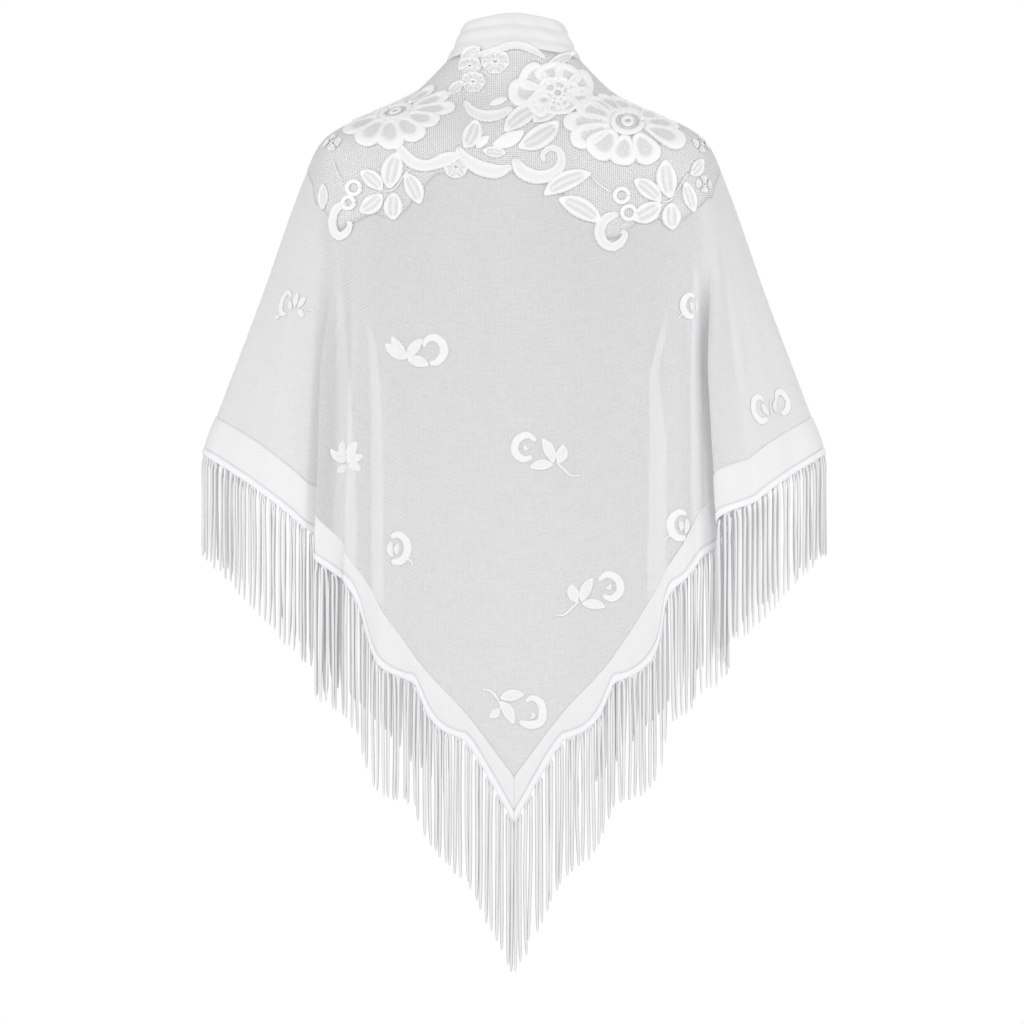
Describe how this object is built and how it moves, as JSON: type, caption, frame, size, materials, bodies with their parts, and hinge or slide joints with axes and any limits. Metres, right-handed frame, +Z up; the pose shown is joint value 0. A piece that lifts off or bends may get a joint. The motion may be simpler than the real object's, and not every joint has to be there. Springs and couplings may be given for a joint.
{
  "type": "embroidered triangular shawl",
  "caption": "Sheer triangular shawl worn over the shoulders, with a raised floral lace yoke, stand-up neck band, satin hem band and long cord fringe.",
  "frame": {"origin": "middle of the neck opening, level with the seam of the neck band over the shoulder", "axes": "+Z up as worn, +X the wearer's right, -Y the back that the picture shows, +Y the open front"},
  "size_m": [0.6615, 0.2681, 1.0051],
  "materials": {
    "voile": "sheer plain-weave voile, matt, seen through a little",
    "lace_net": "fine cotton net, matt",
    "lace_relief": "raised satin-stitch flowers and leaves, soft sheen",
    "satin_band": "closely woven satin band, soft sheen",
    "fringe_cord": "looped twisted cord, silky"
  },
  "bodies": {
    "root": {"blossom_low": "lace_relief", "blossom_nape": "lace_relief", "bud_shoulder": "lace_relief", "crescent_nape": "lace_relief", "daisy_left": "lace_relief", "daisy_right": "lace_relief", "fringe_left": "fringe_cord", "fringe_right": "fringe_cord", "hem_band_left": "satin_band", "hem_band_right": "satin_band", "lace_yoke_back": "lace_net", "lace_yoke_left": "lace_net", "lace_yoke_right": "lace_net", "leaf_left_a": "lace_relief", "leaf_left_b": "lace_relief", "leaf_left_c": "lace_relief", "leaf_left_d": "lace_relief", "leaf_mid": "lace_relief", "leaf_mid_dark": "lace_relief", "leaf_right_a": "lace_relief", "leaf_right_b": "lace_relief", "leaf_right_c": "lace_relief", "leaf_right_d": "lace_relief", "leaf_right_e": "lace_relief", "leaf_right_f": "lace_relief", "leaf_right_g": "lace_relief", "leaf_scroll_a": "lace_relief", "leaf_scroll_b": "lace_relief", "leaf_side_a": "lace_relief", "leaf_under_daisy": "lace_relief", "loop_left": "lace_relief", "loop_right": "lace_relief", "neck_band": "satin_band", "peony": "lace_relief", "ring_left_a": "lace_relief", "ring_left_b": "lace_relief", "ring_right_a": "lace_relief", "ring_right_b": "lace_relief", "scroll_c": "lace_relief", "scroll_centre": "lace_relief", "scroll_wavy_a": "lace_relief", "scroll_wavy_b": "lace_relief", "voile_back": "voile", "voile_left": "voile", "voile_right": "voile"}
  },
  "joints": []
}
